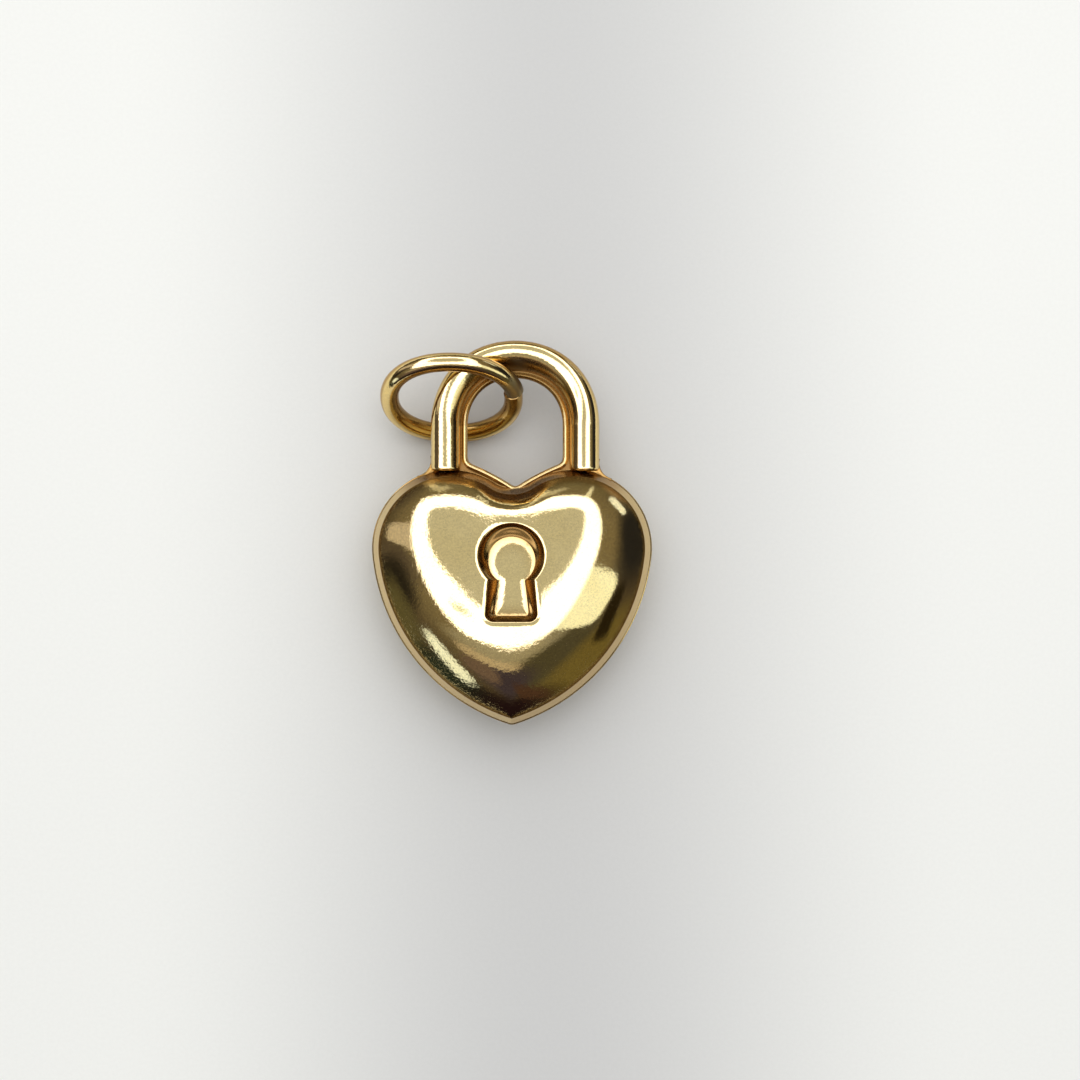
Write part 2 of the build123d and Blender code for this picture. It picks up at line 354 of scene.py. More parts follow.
def skin(rows, first=None, last=None, ring=False, shade_and_wear=0):
    """Joins neighbouring rows of points with four-sided faces. rows is an array (row, point, xyz) of closed
    loops. first and last close the ends to a point each, and ring joins the last row to the first instead.
    shade_and_wear is (row, point, painted shade and scuff). Returns points, quads and triangles, turned so
    that the shell's volume is positive, and the painted shade and scuff of each point."""
    count, around = rows.shape[:2]
    points = rows.reshape(-1, 3)
    shade_and_wear = np.broadcast_to(shade_and_wear, (count, around, 2)).reshape(-1, 2)
    here = np.arange(around)
    after = np.roll(here, -1)
    base = np.arange(count if ring else count - 1)[:, None] * around
    above = (base + around) % (count * around)
    quads = np.stack([base + here, base + after, above + after, above + here], -1).reshape(-1, 4)
    tris = np.zeros((0, 3), int)
    for pole, row, flip in ((first, 0, True), (last, count - 1, False)):
        if pole is not None:
            fan = np.stack([row * around + here, row * around + after, np.full(around, len(points))], -1)
            tris = np.concatenate([tris, fan[:, ::-1] if flip else fan])
            points = np.concatenate([points, np.reshape(pole, (1, 3))])
    halves = np.concatenate([quads[:, [0, 1, 2]], quads[:, [0, 2, 3]], tris])
    a, b, c = (points[halves[:, i]] for i in range(3))
    if np.einsum("ij,ij->", a, np.cross(b, c)) < 0:
        quads, tris = quads[:, ::-1], tris[:, ::-1]
    return points, quads, tris, np.concatenate([shade_and_wear, np.zeros((len(points) - len(shade_and_wear), 2))])


def place(points):
    """From millimetres about the heart's middle and its seam to metres in the row frame."""
    return (points + np.array([0, MIDDLE_Y, SEAM_HEIGHT])) * MM


def make_piece(name, shells, node, material):
    """One smooth-shaded object from one or more shells, with their painted shade and scuff as the attributes
    shade_and_grime and scuff. It rides on the body root and stands for the CAD node."""
    points = place(np.concatenate([shell[0] for shell in shells]))
    starts = np.cumsum([0] + [len(shell[0]) for shell in shells])
    quads = np.concatenate([shell[1] + start for shell, start in zip(shells, starts)])
    tris = np.concatenate([shell[2] + start for shell, start in zip(shells, starts)])
    corners = np.concatenate([quads.ravel(), tris.ravel()]).astype(np.int32)
    loop_start = np.concatenate([np.arange(len(quads)) * 4, len(quads) * 4 + np.arange(len(tris)) * 3])
    mesh = bpy.data.meshes.new(name)
    mesh.vertices.add(len(points))
    mesh.vertices.foreach_set("co", points.ravel())
    mesh.loops.add(len(corners))
    mesh.loops.foreach_set("vertex_index", corners)
    mesh.polygons.add(len(loop_start))
    mesh.polygons.foreach_set("loop_start", loop_start.astype(np.int32))
    shade_and_wear = np.concatenate([shell[3] for shell in shells])
    for column, kind in enumerate(SHADE_AND_WEAR_KINDS):
        mesh.attributes.new(kind, "FLOAT", "POINT").data.foreach_set("value", shade_and_wear[:, column].copy())
    mesh.update(calc_edges=True)
    mesh.validate()
    mesh.shade_smooth()
    mesh.materials.append(material)
    piece = bpy.data.objects.new(name, mesh)
    bpy.context.scene.collection.objects.link(piece)
    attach(piece, "root")
    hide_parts(node)


def section(power):
    """A unit outline |x|^power + |y|^power = 1: round at 2, and flatter on its four sides above that."""
    a = np.arange(BAR_POINTS) / BAR_POINTS * 2 * np.pi
    r = (np.abs(np.cos(a)) ** power + np.abs(np.sin(a)) ** power) ** (-1 / power)
    return r * np.cos(a), r * np.sin(a)


def carry(path, radius, power=2.0):
    """A section of the given radius carried along a flat path in the plane of x and y, as rows of points.
    Each row is centre + radius * (x * sideways + y * up), with sideways square to the path."""
    ahead = np.gradient(path, axis=0)
    ahead /= np.linalg.norm(ahead, axis=1, keepdims=True)
    sideways = np.stack([ahead[:, 1], -ahead[:, 0], np.zeros(len(path))], -1)
    x, y = section(power)
    up = np.array([0, 0, 1.0])
    return path[:, None, :] + radius * (x[:, None] * sideways[:, None, :] + y[:, None] * up)


# ---- The heart ----

LIP_SLOPES = (66, 60, 54, 48, 42, 36, 30, 25, 20, 17, 14, 11, 8, 5, 2.5, 0)     # degrees, from the wall out
MOUTH_SLOPE = 25        # the lip is as wide as the mouth where it has this slope
SOFT_SLOPE = 20         # its soft outer rounding ends and its tight inner one begins at this slope
FOOT_SLOPE = 35         # slope of the keyhole's wall where it meets the floor
WALL_STEPS = np.linspace(0, 1, 11)[1:, None]    # down the keyhole's wall
FLOOR_STEPS = (0.985, 0.96, 0.92, 0.87, 0.81, 0.74, 0.66, 0.57, 0.46, 0.34, 0.2, 0.08)  # share of its outline
EDGE_INSETS = (0.16, 0.11, 0.07, 0.04, 0.018)   # the dome's last loops, in mm in from its edge
BACK_INSETS = (0.02, 0.06, 0.16)                # the same on the back
DOME_LOOPS, BACK_LOOPS = 51, 18                 # between those and the keyhole's lip or the back's middle
RIM_STEPS = (0.012, 0.03, 0.15, 0.3, 0.45, 0.6, 0.72, 0.8, 0.845)     # shares of the way down the steep wall
WALL_SETBACK = 0.012                            # how far that wall stands back below the dome's edge, in mm


def directions(count):
    """Directions evenly spaced, clockwise from straight up, as angles between -pi and pi."""
    angle = np.arange(count) / count * 2 * np.pi
    return np.where(angle > np.pi, angle - 2 * np.pi, angle)


def loop(angle, radius, height):
    """A closed loop about a middle: radius in each direction, and its height."""
    height = np.broadcast_to(height, angle.shape)
    return np.stack([radius * np.sin(angle), radius * np.cos(angle), height], -1)


def beside_edge(heart, angle, insets):
    """The dome's edge moved in by each inset, with a tip that is rounder the further in it lies."""
    return [heart.radius(angle, heart.s.wall_width + d, EDGE_TIP + d / 2) for d in insets]


def front_loops(heart, k, angle):
    """Radii and heights of the front, from the lip's inside out to the dome's edge. The lip starts from the
    dome softly and ends tightly: run and drop, how far in and down it has come at each slope, are radius *
    sin(slope) and radius * (1 - cos(slope)) on each part."""
    s = heart.s

    def mouth(grow):
        return keyhole_radius(angle, k.mouth_head_radius + grow, k.mouth_head_rise, k.mouth_waist + 2 * grow,
                              k.mouth_foot + 2 * grow, k.mouth_foot_depth + grow, k.mouth_corner + grow)

    slopes = np.radians(LIP_SLOPES)
    soft = np.minimum(slopes, math.radians(SOFT_SLOPE))
    run = k.lip_radius * np.sin(soft) + k.lip_edge * (np.sin(slopes) - np.sin(soft))
    drop = k.lip_radius * (1 - np.cos(soft)) + k.lip_edge * (np.cos(soft) - np.cos(slopes))
    lip = [mouth(run[LIP_SLOPES.index(MOUTH_SLOPE)] - r) for r in run]
    edge = beside_edge(heart, angle, EDGE_INSETS)
    share = 1 - (1 - np.linspace(0, 1, DOME_LOOPS + 2)[1:-1]) ** 1.25
    radii = np.array(lip + [lip[-1] * (1 - t) + edge[0] * t for t in share] + edge)
    height = s.wall_height + heart.rise(radii * np.sin(angle), radii * np.cos(angle))
    height[:len(slopes)] -= drop[:, None]
    return radii, height


def keyhole_loops(k, angle, top_radius, top_height):
    """The keyhole's wall and floor from the lip in, and the height of the floor's middle. The wall is a cubic
    that has the lip's slope at its top and FOOT_SLOPE at its foot. The floor falls evenly towards the notch,
    and its border is raised by bowl * (1 - distance to its outline / bowl width)^2."""
    edge = keyhole_radius(angle, k.floor_head_radius, k.floor_head_rise, k.floor_waist, k.floor_foot,
                          k.floor_foot_depth, k.floor_corner)

    def floor_height(radius):
        return SEAM_HEIGHT - k.depth - k.floor_fall * (radius * np.cos(angle) - k.floor_head_rise / 2)

    t = WALL_STEPS
    wide = top_radius - edge
    fall = floor_height(edge) + k.bowl - top_height
    height = (top_height + fall * (3 * t**2 - 2 * t**3)
              - (t**3 - 2 * t**2 + t) * math.tan(math.radians(LIP_SLOPES[0])) * wide
              - (t**3 - t**2) * math.tan(math.radians(FOOT_SLOPE)) * wide)
    wall = [loop(angle, top_radius - wide * share[0], z) for share, z in zip(t, height)]
    outline, floor = loop(angle, edge, 0), []
    for share in FLOOR_STEPS:
        here = loop(angle, edge * share, 0)
        apart = np.sqrt(((here[:, None] - outline) ** 2).sum(-1).min(1))
        lift = k.bowl * np.clip(1 - apart / k.bowl_width, 0, 1) ** 2
        floor.append(loop(angle, edge * share, floor_height(edge * share) + lift))
    return wall, floor, floor_height(0)[0]


def rim_loops(heart, angle):
    """The steep wall from the dome's edge down, and the upper half of the bead that runs along the seam. At a
    share t of the way down the wall still leans in by its width * (1 - t)^1.1."""
    s = heart.s
    rim = [loop(angle, heart.radius(angle, s.wall_width, EDGE_TIP), s.wall_height)]
    for t in RIM_STEPS:
        inset = s.wall_width * (1 - t) ** 1.1 + WALL_SETBACK * smooth(t / 0.1)
        tip = EDGE_TIP + (s.tip_radius - EDGE_TIP) * t**0.8
        rim.append(loop(angle, heart.radius(angle, inset, tip), s.wall_height * (1 - t)))
    top = s.bead_height
    bead = ((0.034, top), (0.024, top - 0.015), (0.018, top - 0.05), (0.0, 0.03), (0.004, 0.006), (0.03, 0.0))
    return rim, [loop(angle, heart.radius(angle, inset, s.tip_radius), z) for inset, z in bead]


def back_loops(heart, angle):
    """The plain back from its edge in: the dome's own curve, scaled to end where the pendant lies."""
    s = heart.s
    edge = beside_edge(heart, angle, BACK_INSETS)
    radii = np.array(edge + [edge[-1] * t for t in np.linspace(1, 0, BACK_LOOPS + 2)[1:-1]])
    height = heart.rise(radii * np.sin(angle), radii * np.cos(angle), plain=True)
    height = s.wall_height + height * (SEAM_HEIGHT - s.wall_height) / height.max()
    return [loop(angle, r, -z) for r, z in zip(radii, height)]


def heart_painted_shade(heart, angle, radii, floor, wall, rim, bead, back):
    """How much painted shade each point has, in recesses, creases, the rim and beside the shackle and the
    notch:
    0 is none, about half is amber and 1 is deep brown. radii are the front's loops, and the other five say
    how many loops those parts have."""
    lip = floor + wall
    edge = lip + len(radii)
    seam = edge + rim
    shade_and_grime = np.zeros((seam + bead + bead + rim - 1 + back, len(angle)))
    up = np.abs(angle)
    under_head = smooth((1.3 - up) / 0.9)
    near_shackle = smooth((0.95 - up) / 0.3)
    near_notch = smooth((0.55 - up) / 0.25)
    low_right = smooth((angle - 1.5) / 0.8)
    # painted shade in the keyhole: the floor's border, the wall, darkest at its top and under the round head,
    # and the lip
    shade_and_grime[floor - 8:floor] = np.linspace(0.05, 0.38, 8)[:, None]
    shade_and_grime[floor:lip] = np.maximum(0.95 - 0.60 * WALL_STEPS[::-1] ** 1.2, 0.80 * under_head)
    shade_and_grime[lip:lip + 6] = np.linspace(1, 0.25, 6)[:, None]
    # painted shade on the rim on both sides, the crease along the dome's edge, and the seam's bead
    shade_and_grime[edge:-back] = 0.25 + 0.55 * near_shackle + 0.08 * low_right
    shade_and_grime[edge - 3:edge + 2] = 0.75
    shade_and_grime[seam:seam + 2 * bead] = 0.25 + 0.45 * near_shackle
    # painted shade on the dome beside its edge, wider near the shackle, and darkest in the notch
    dome = shade_and_grime[lip:edge]
    deep = heart.inset(radii * np.sin(angle), radii * np.cos(angle)) - heart.s.wall_width
    np.maximum(dome, 0.55 * smooth((0.30 - deep) / 0.25), out=dome)
    np.maximum(dome, 0.55 * near_shackle * smooth((0.60 - deep) / 0.50), out=dome)
    np.maximum(dome, 0.90 * near_notch * smooth((0.55 - deep) / 0.30), out=dome)
    return shade_and_grime


def heart_shell(s, k):
    """The heart as closed loops about its middle, from the keyhole's floor out over the lip, the dome and the
    steep wall, past the seam, and in again over the plain back."""
    heart = Heart(s)
    angle = directions(HEART_POINTS)
    radii, heights = front_loops(heart, k, angle)
    front = [loop(angle, r, z) for r, z in zip(radii, heights)]
    wall, floor, middle = keyhole_loops(k, angle, radii[0], heights[0])
    rim, bead = rim_loops(heart, angle)
    half = rim + bead
    back_half = [row * [1, 1, -1] for row in half[::-1]][1:]
    back = back_loops(heart, angle)
    rows = np.array(floor[::-1] + wall[::-1] + front + half + back_half + back)
    shade_and_grime = heart_painted_shade(heart, angle, radii, *(len(part) for part in (floor, wall, rim, bead, back)))
    return skin(rows, first=(0, 0, middle), last=(0, 0, -SEAM_HEIGHT), shade_and_wear=np.stack([shade_and_grime, 0 * shade_and_grime], -1))


# ---- The shackle ----

BAR_FOOT_STEPS = (6, 18, 32, 46, 60, 74, 86)    # round the rim of the bar's blunt end, in degrees
WEB_BEAD_SHADE = (0.60, 0.55, 0.45, 0.35, 0.28, 0.25, 0.24, 0.22, 0.22)     # painted shade, from the web's free edge up
WEB_VALLEY = (
    # mm out from the free edge, mm below the bead's top, painted shade
    (0.19, 0.01, 0.24),
    (0.24, 0.05, 0.50),
    (0.29, 0.09, 0.75),
    (0.36, 0.12, 0.85),
    (0.90, 0.12, 0.85),
    (1.40, 0.12, 0.85),
)
SHOULDER_TOP = (
    # mm out from the hollow edge, mm below the strip's top
    (0.14, 0.02),
    (0.22, 0.07),
    (0.40, 0.10),
    (1.10, 0.10),
)


def on_arch(x, y, s):
    """How far a point lies from the arch's centre, or from the axis below it, and its share of the way up the
    arch: 0 at the legs and 1 at the top."""
    up = np.maximum(y - (s.height - s.width / 2), 0)
    out = np.hypot(x, up)
    return out, up / np.maximum(out, 0.1)


def shackle_bend(x, y, s):
    """How far the shackle is raised at a point, because round the arch its outside stands higher than its
    inside: dish * (distance from the arch's middle line) * (share of the way up)."""
    out, share = on_arch(x, y, s)
    return s.dish * share * (out - (s.width - s.bar) / 2)


def bar_shell(s, lobe_top):
    """The round bar: a half ring between two straight legs, with blunt ends rounded over at their rims.
    Painted shade, partly dark patina, lies along its inside, more of it round the arch, and painted shade
    lies thinly along its outside, more at the arch's outer edge."""
    bar = s.bar / 2
    radius = s.width / 2 - bar
    arch_y = s.height - s.width / 2
    foot_y = lobe_top + s.foot_gap
    turn = np.linspace(0, np.pi, 181)
    arch_radius = radius * (1 + s.squareness * np.sin(2 * turn) ** 2)
    arch = np.stack([arch_radius * np.cos(turn), arch_y + arch_radius * np.sin(turn)], -1)
    climb = np.linspace(foot_y + s.foot_round, arch_y, 25)[:-1]
    leg = np.stack([np.full(len(climb), radius), climb], -1)
    path = np.concatenate([leg, arch, (leg * [-1, 1])[::-1]])
    rows = carry(np.c_[path, np.zeros(len(path))], bar, s.flatness)
    x, y = section(s.flatness)
    a = np.radians(BAR_FOOT_STEPS)[:, None]
    thick = bar - s.foot_round + s.foot_round * np.cos(a)
    low = foot_y + s.foot_round - s.foot_round * np.sin(a)
    feet = [np.stack([side * radius + side * thick * x, low + 0 * x, thick * y], -1) for side in (1, -1)]
    rows = np.concatenate([feet[0][::-1], rows, feet[1]])
    rows[..., 2] += shackle_bend(rows[..., 0], rows[..., 1], s)
    out, share = on_arch(rows[..., 0], rows[..., 1], s)
    inward = (radius - out) / bar
    # painted shade, partly dark patina, along the inside; painted shade along the outside and the arch's
    # outer edge
    inside = smooth((inward - 0.30 + 0.32 * share) / 0.35) * (0.38 + 0.42 * share)
    outside = smooth((-inward - 0.50) / 0.3) * 0.15 + smooth((-inward - 0.74) / 0.16) * 0.35 * share
    # one dull spot inside the arch's top
    spot = np.exp(-((rows[..., 0] - 0.15) / 0.5) ** 2) * share**4 * smooth((inward - 0.1) / 0.3) * 0.45
    rows += [s.shift, 0, 0]
    return skin(rows, first=(radius + s.shift, foot_y, 0), last=(-radius + s.shift, foot_y, 0),
                shade_and_wear=np.stack([np.maximum(inside, outside), spot], -1))


def web_shell(s):
    """The thin plate inside the bar: its opening's outline grown step by step, so that its edge is a raised
    rounded bead with a shallow valley between it and the bar. A running mean over the direction softens the
    outline's corners."""
    leg_x = s.width / 2 - s.bar - s.web_reach
    arch_y = s.height - s.width / 2
    centre_y = arch_y - 0.3
    # each sloping edge is an arc through the notch and the lower corner, at its ends this much off its chord
    bow = math.radians(6.5)
    chord = np.array([leg_x, s.corner_rise - s.notch_rise])
    slope = math.atan2(chord[1], chord[0]) + bow
    flank = np.hypot(*chord) / (2 * math.sin(bow))
    flank_x, flank_y = flank * math.sin(slope), s.notch_rise - flank * math.cos(slope)
    corner_x = leg_x - s.web_corner
    corner_y = flank_y + math.sqrt((flank + s.web_corner) ** 2 - (corner_x - flank_x) ** 2)
    out = math.hypot(corner_x - flank_x, corner_y - flank_y)
    angle = directions(WEB_POINTS)
    dx, dy, turn = np.abs(np.sin(angle)), np.cos(angle), np.abs(angle)

    def opening(grow):
        leg = leg_x + grow
        arch = far_hit(dx, dy, 0, arch_y - centre_y, leg)
        bulge = 1 + s.squareness * np.sin(2 * np.arctan2(arch * dy + centre_y - arch_y, arch * dx)) ** 2
        with np.errstate(divide="ignore"):
            side = leg / dx
        low = far_hit(dx, dy, corner_x, corner_y - centre_y, s.web_corner + grow)
        slant = near_hit(dx, dy, flank_x, flank_y - centre_y, flank - grow)
        arch_end, side_end = turn_of(leg, arch_y - centre_y), turn_of(leg, corner_y - centre_y)
        low_end = turn_of(flank_x + (corner_x - flank_x) * (flank - grow) / out,
                          flank_y + (corner_y - flank_y) * (flank - grow) / out - centre_y)
        parts = [turn < arch_end, turn < side_end, turn < low_end]
        return soften(np.select(parts, [arch * bulge, side, low], slant), 13)

    half = s.web / 2
    a = np.radians(np.linspace(0, 90, len(WEB_BEAD_SHADE)))
    top = [(s.web_edge * (1 - math.cos(x)), half * math.sin(x), g) for x, g in zip(a, WEB_BEAD_SHADE)]
    top += [(grow, half - down, g) for grow, down, g in WEB_VALLEY]
    profile = top[::-1] + [(grow, -z, g) for grow, z, g in top[1:]]
    rows = np.array([loop(angle, opening(grow), z) for grow, z, _ in profile]) + [0, centre_y, 0]
    rows[..., 2] += shackle_bend(rows[..., 0], rows[..., 1], s)
    rows += [s.shift, 0, 0]
    # painted shade: along the bead, in the valley beside the bar, and more towards the arch's top
    up = smooth((rows[..., 1] - arch_y) / 1.5)
    shade_and_grime = np.maximum(np.array([[g] for *_, g in profile]), 0.75 * up)
    return skin(rows, ring=True, shade_and_wear=np.stack([shade_and_grime, 0 * shade_and_grime], -1))


def shoulder_shell(s, heart, side):
    """The corner of web outside a leg: a flat strip along the hollow rounding, nearly as thick as the web and
    rounded at its edge, that runs back into the bar and the lobe. side is 1 on the right, -1 on the left."""
    leg_x = side * s.shift + s.width / 2
    round_x = leg_x + s.shoulder
    reach = heart.s.lobe_radius + s.shoulder
    round_y = heart.s.lobe_rise + math.sqrt(reach**2 - (round_x - heart.lobe_x) ** 2)
    to_lobe = math.atan2(heart.s.lobe_rise - round_y, heart.lobe_x - round_x)
    past = 0.25
    turn = np.linspace(math.pi - past, to_lobe + 2 * math.pi + past, 32)[:, None]
    half, soft = s.web / 2 - 0.02, 0.10
    a = np.radians(np.linspace(0, 90, 6))
    top = [(soft * (1 - math.cos(x)), half - soft + soft * math.sin(x)) for x in a[:4]]
    top += [(out, half - down) for out, down in SHOULDER_TOP]
    out, z = np.array(top + [(o, -z) for o, z in top[::-1]]).T
    r = s.shoulder + out
    rows = np.stack([side * (round_x + r * np.cos(turn)), round_y + r * np.sin(turn), z + 0 * turn], -1)
    # painted shade over the whole corner between the leg and the lobe
    return skin(rows, first=rows[0].mean(0), last=rows[-1].mean(0), shade_and_wear=[0.62, 0.0])


# ---- The jump ring ----

def ring_shade_and_wear(rows, path, wire, tilt, from_joint):
    """Painted shade, tone and scuff on the ring. Seen from above, painted shade lies along the wire's inner
    side and less along its outer one, with a thin even trace all over. The joint's lower end is painted
    amber, and its upper end is dull and greyish on top. from_joint is the angle round the ring from the upper
    end."""
    x, y = section(2.0)
    top = smooth((0.6 + y + 0.6 * x) / 0.6)
    scuff = smooth((0.50 - from_joint) / 0.25)[:, None] * top
    amber_tone = 0.42 * smooth((from_joint - 2 * np.pi + 0.55) / 0.25)[:, None]
    away = (path @ tilt.T)[:, None, :2]
    seen = ((rows - path[:, None]) / wire @ tilt.T)[..., :2]
    outward = (seen * away / np.linalg.norm(away, axis=-1)[..., None]).sum(-1)
    # painted shade on the wire's side that faces the ring's middle as seen from above, and less on its outer
    # side
    inner = 0.68 * smooth((-outward - 0.25) / 0.35)
    outer = 0.45 * smooth((outward - 0.60) / 0.25)
    trace = 0.14
    return np.stack([np.maximum(np.maximum(inner, outer), np.maximum(amber_tone, trace)), scuff], -1)


def ring_shell(s, shackle):
    """Round wire along a leaning oval. Its butted joint lies a little past the oval's right end, where the
    upper end runs on a little too straight and so stands outside the lower one."""
    wire = s.wire / 2
    end, reach = s.short_way / 2 - wire, s.long_way / 2 - wire
    lean = math.asin((SEAM_HEIGHT + shackle.bar / 2 + s.clearance) / (2 * end))
    c, si = math.cos(lean), math.sin(lean)
    tilt = np.array([[1, 0, 0], [0, c, -si], [0, si, c]])
    cut = s.joint / 2 / end
    bend = 0.8      # the points lie closer together from the joint up to here
    from_joint = np.concatenate([np.linspace(cut, bend, 60), np.linspace(bend, 2 * np.pi - cut, 241)[1:]])
    way = from_joint + s.joint_turn
    radius = (np.abs(np.cos(way)) / reach) ** s.oval + (np.abs(np.sin(way)) / end) ** s.oval
    radius = radius ** (-1 / s.oval) + s.overshoot * smooth((0.75 - from_joint) / 0.75)
    path = np.stack([radius * np.cos(way), radius * np.sin(way), 0 * way], -1)
    rows = carry(path, wire)
    shade_and_wear = ring_shade_and_wear(rows, path, wire, tilt, from_joint)
    # the cut ends: a small chamfer and a flat face
    face_share, chamfer = 0.90, 0.03
    faces = []
    for at, step in ((0, path[1] - path[0]), (-1, path[-2] - path[-1])):
        faces.append(path[at] + (rows[at] - path[at]) * face_share)
        rows[at] += step / np.linalg.norm(step) * chamfer
    rows = np.concatenate([faces[0][None], rows, faces[1][None]])
    shade_and_wear = shade_and_wear[[0, *range(len(shade_and_wear)), -1]]
    points, quads, tris, shade_and_wear = skin(rows, first=path[0], last=path[-1], shade_and_wear=shade_and_wear)
    at = np.array([shackle.shift - shackle.width / 2 + shackle.bar / 2 + s.aside,
                   shackle.height - shackle.width / 2 + s.up, wire + end * si - SEAM_HEIGHT])
    return points @ tilt.T + at, quads, tris, shade_and_wear


# ---- Materials and light ----

class Nodes:
    """Short ways to add and join nodes in the tree of a new material or world."""

    def __init__(self, owner):
        owner.use_nodes = True
        self.tree = owner.node_tree
        self.tree.nodes.clear()

    def add(self, kind, inputs=None, **settings):
        node = self.tree.nodes.new("ShaderNode" + kind)
        for name, value in settings.items():
            setattr(node, name, value)
        for name, value in (inputs or {}).items():
            socket = node.inputs[name]
            if isinstance(value, bpy.types.NodeSocket):
                self.tree.links.new(value, socket)
            else:
                socket.default_value = value
        return node

    def maths(self, operation, *values):
        return self.add("Math", dict(enumerate(values)), operation=operation).outputs[0]

    def plus(self, a, b):
        return self.maths("ADD", a, b)

    def times(self, a, b):
        return self.maths("MULTIPLY", a, b)

    def mix(self, share, a, b):
        """A colour between a, where share is 0, and b, where it is 1."""
        node = self.add("Mix", data_type="RGBA")
        for index, value in ((0, share), (6, a), (7, b)):
            if isinstance(value, bpy.types.NodeSocket):
                self.tree.links.new(value, node.inputs[index])
            else:
                node.inputs[index].default_value = value if index == 0 else (*value, 1.0)
        return node.outputs[2]

    def span(self, value, low, high, to_low=0.0, to_high=1.0):
        """A smooth step: to_low below low and to_high above high."""
        return self.add("MapRange", {0: value, 1: low, 2: high, 3: to_low, 4: to_high},
                        interpolation_type="SMOOTHSTEP").outputs[0]

    def noise(self, where, scale, detail=2.0, rough=0.5):
        inputs = {"Vector": where, "Scale": scale, "Detail": detail, "Roughness": rough}
        return self.add("TexNoise", inputs).outputs[0]

    def object_mm(self):
        """The place on a piece, in millimetres."""
        where = self.add("TexCoord").outputs["Object"]
        return self.add("Mapping", {"Vector": where, "Scale": (1 / MM,) * 3}).outputs[0]

    def lines(self, where, turn, scale):
        """A noise turned about the upright axis and drawn out into lines."""
        turned = self.add("Mapping", {"Vector": where, "Rotation": (0, 0, turn), "Scale": scale})
        return self.noise(turned.outputs[0], 1.0)

    def surface(self, relief, height, strength, **inputs):
        """The material's own shader, with a bump as high as the given metres."""
        bump = self.add("Bump", {"Strength": strength, "Distance": height, "Height": relief})
        inputs = {name.replace("_", " "): value for name, value in inputs.items()}
        shader = self.add("BsdfPrincipled", {**inputs, "Normal": bump.outputs[0]})
        self.add("OutputMaterial", {"Surface": shader.outputs[0]})


# Sizes of what is seen in the gold, as waves to a millimetre, and how high its grain stands in metres
WANDER, PATCH, POLISH, GRAIN, FILM, SPECK = 0.5, 0.9, 4.0, 5.5, 8.0, 12.0
GRAIN_HEIGHT = 0.0000085
PAPER_TOOTH_HEIGHT = 0.00002


def gold_material(name, look, haze):
    """Polished gold: metal whose colour wanders a little, under a thin uneven film and dull specks that come
    in patches. More shade_and_grime, which is mostly painted shade, turns it amber and then deep brown, and
    more scuff turns it grey and rough. A soft grain and hairline scratches are in its bump, which is weaker
    towards the right. haze is how strong film, specks and bump are."""
    material = bpy.data.materials.new(name)
    n = Nodes(material)
    mm = n.object_mm()
    gold, tarnish = tuple(look.colour), tuple(look.tarnish)
    deep = tuple(channel * share for channel, share in zip(gold, (0.93, 0.90, 0.80)))
    wander = n.span(n.noise(mm, WANDER, 3), 0.35, 0.65)
    specks = n.span(n.noise(mm, SPECK, 3, 0.7), 0.50, 0.66)
    dull = n.times(specks, n.span(n.noise(mm, PATCH, 2), 0.30, 0.62, 0.25, 1.0))
    film = n.span(n.noise(mm, FILM, 4, 0.75), 0.36, 0.66, 0.0, 0.42)
    shade_and_grime, scuff = (n.add("Attribute", attribute_name=kind).outputs["Fac"] for kind in SHADE_AND_WEAR_KINDS)
    base = n.mix(n.times(wander, 0.5), gold, deep)
    base = n.mix(n.times(dull, 0.30 * haze), base, tarnish)
    base = n.mix(n.times(film, haze), base, tuple(look.film))
    # painted shade: shade_and_grime turns the gold amber, then deep brown
    base = n.mix(n.span(shade_and_grime, 0.0, 0.55, 0.0, 0.92), base, tuple(look.amber_tone))
    base = n.mix(n.span(shade_and_grime, 0.5, 1.0), base, tuple(look.shade_and_grime))
    base = n.mix(n.times(scuff, 0.75), base, tarnish)
    polish = n.span(n.noise(mm, POLISH, 3), 0.3, 0.7, 0.030, 0.055)
    shade_and_wear_rough = n.maths("MULTIPLY_ADD", scuff, 0.28, n.times(shade_and_grime, 0.25))
    rough = n.plus(polish, n.plus(n.times(dull, 0.10 * haze), shade_and_wear_rough))
    along, across = n.lines(mm, 0.6, (1.2, 22, 8)), n.lines(mm, -0.9, (26, 1.4, 9))
    hairs = n.plus(n.span(along, 0.62, 0.74), n.span(across, 0.64, 0.76))
    grain = n.maths("MULTIPLY_ADD", n.noise(mm, GRAIN, 2), 0.62, n.times(n.noise(mm, SPECK, 2), 0.07))
    right = n.add("SeparateXYZ", {0: mm}).outputs[0]
    relief = n.times(n.plus(n.times(hairs, -0.04), grain), n.span(right, 0.5, 3.5, 1.0, 0.35))
    n.surface(relief, GRAIN_HEIGHT * haze, 1.0, Base_Color=base, Metallic=1.0, Roughness=rough)
    return material


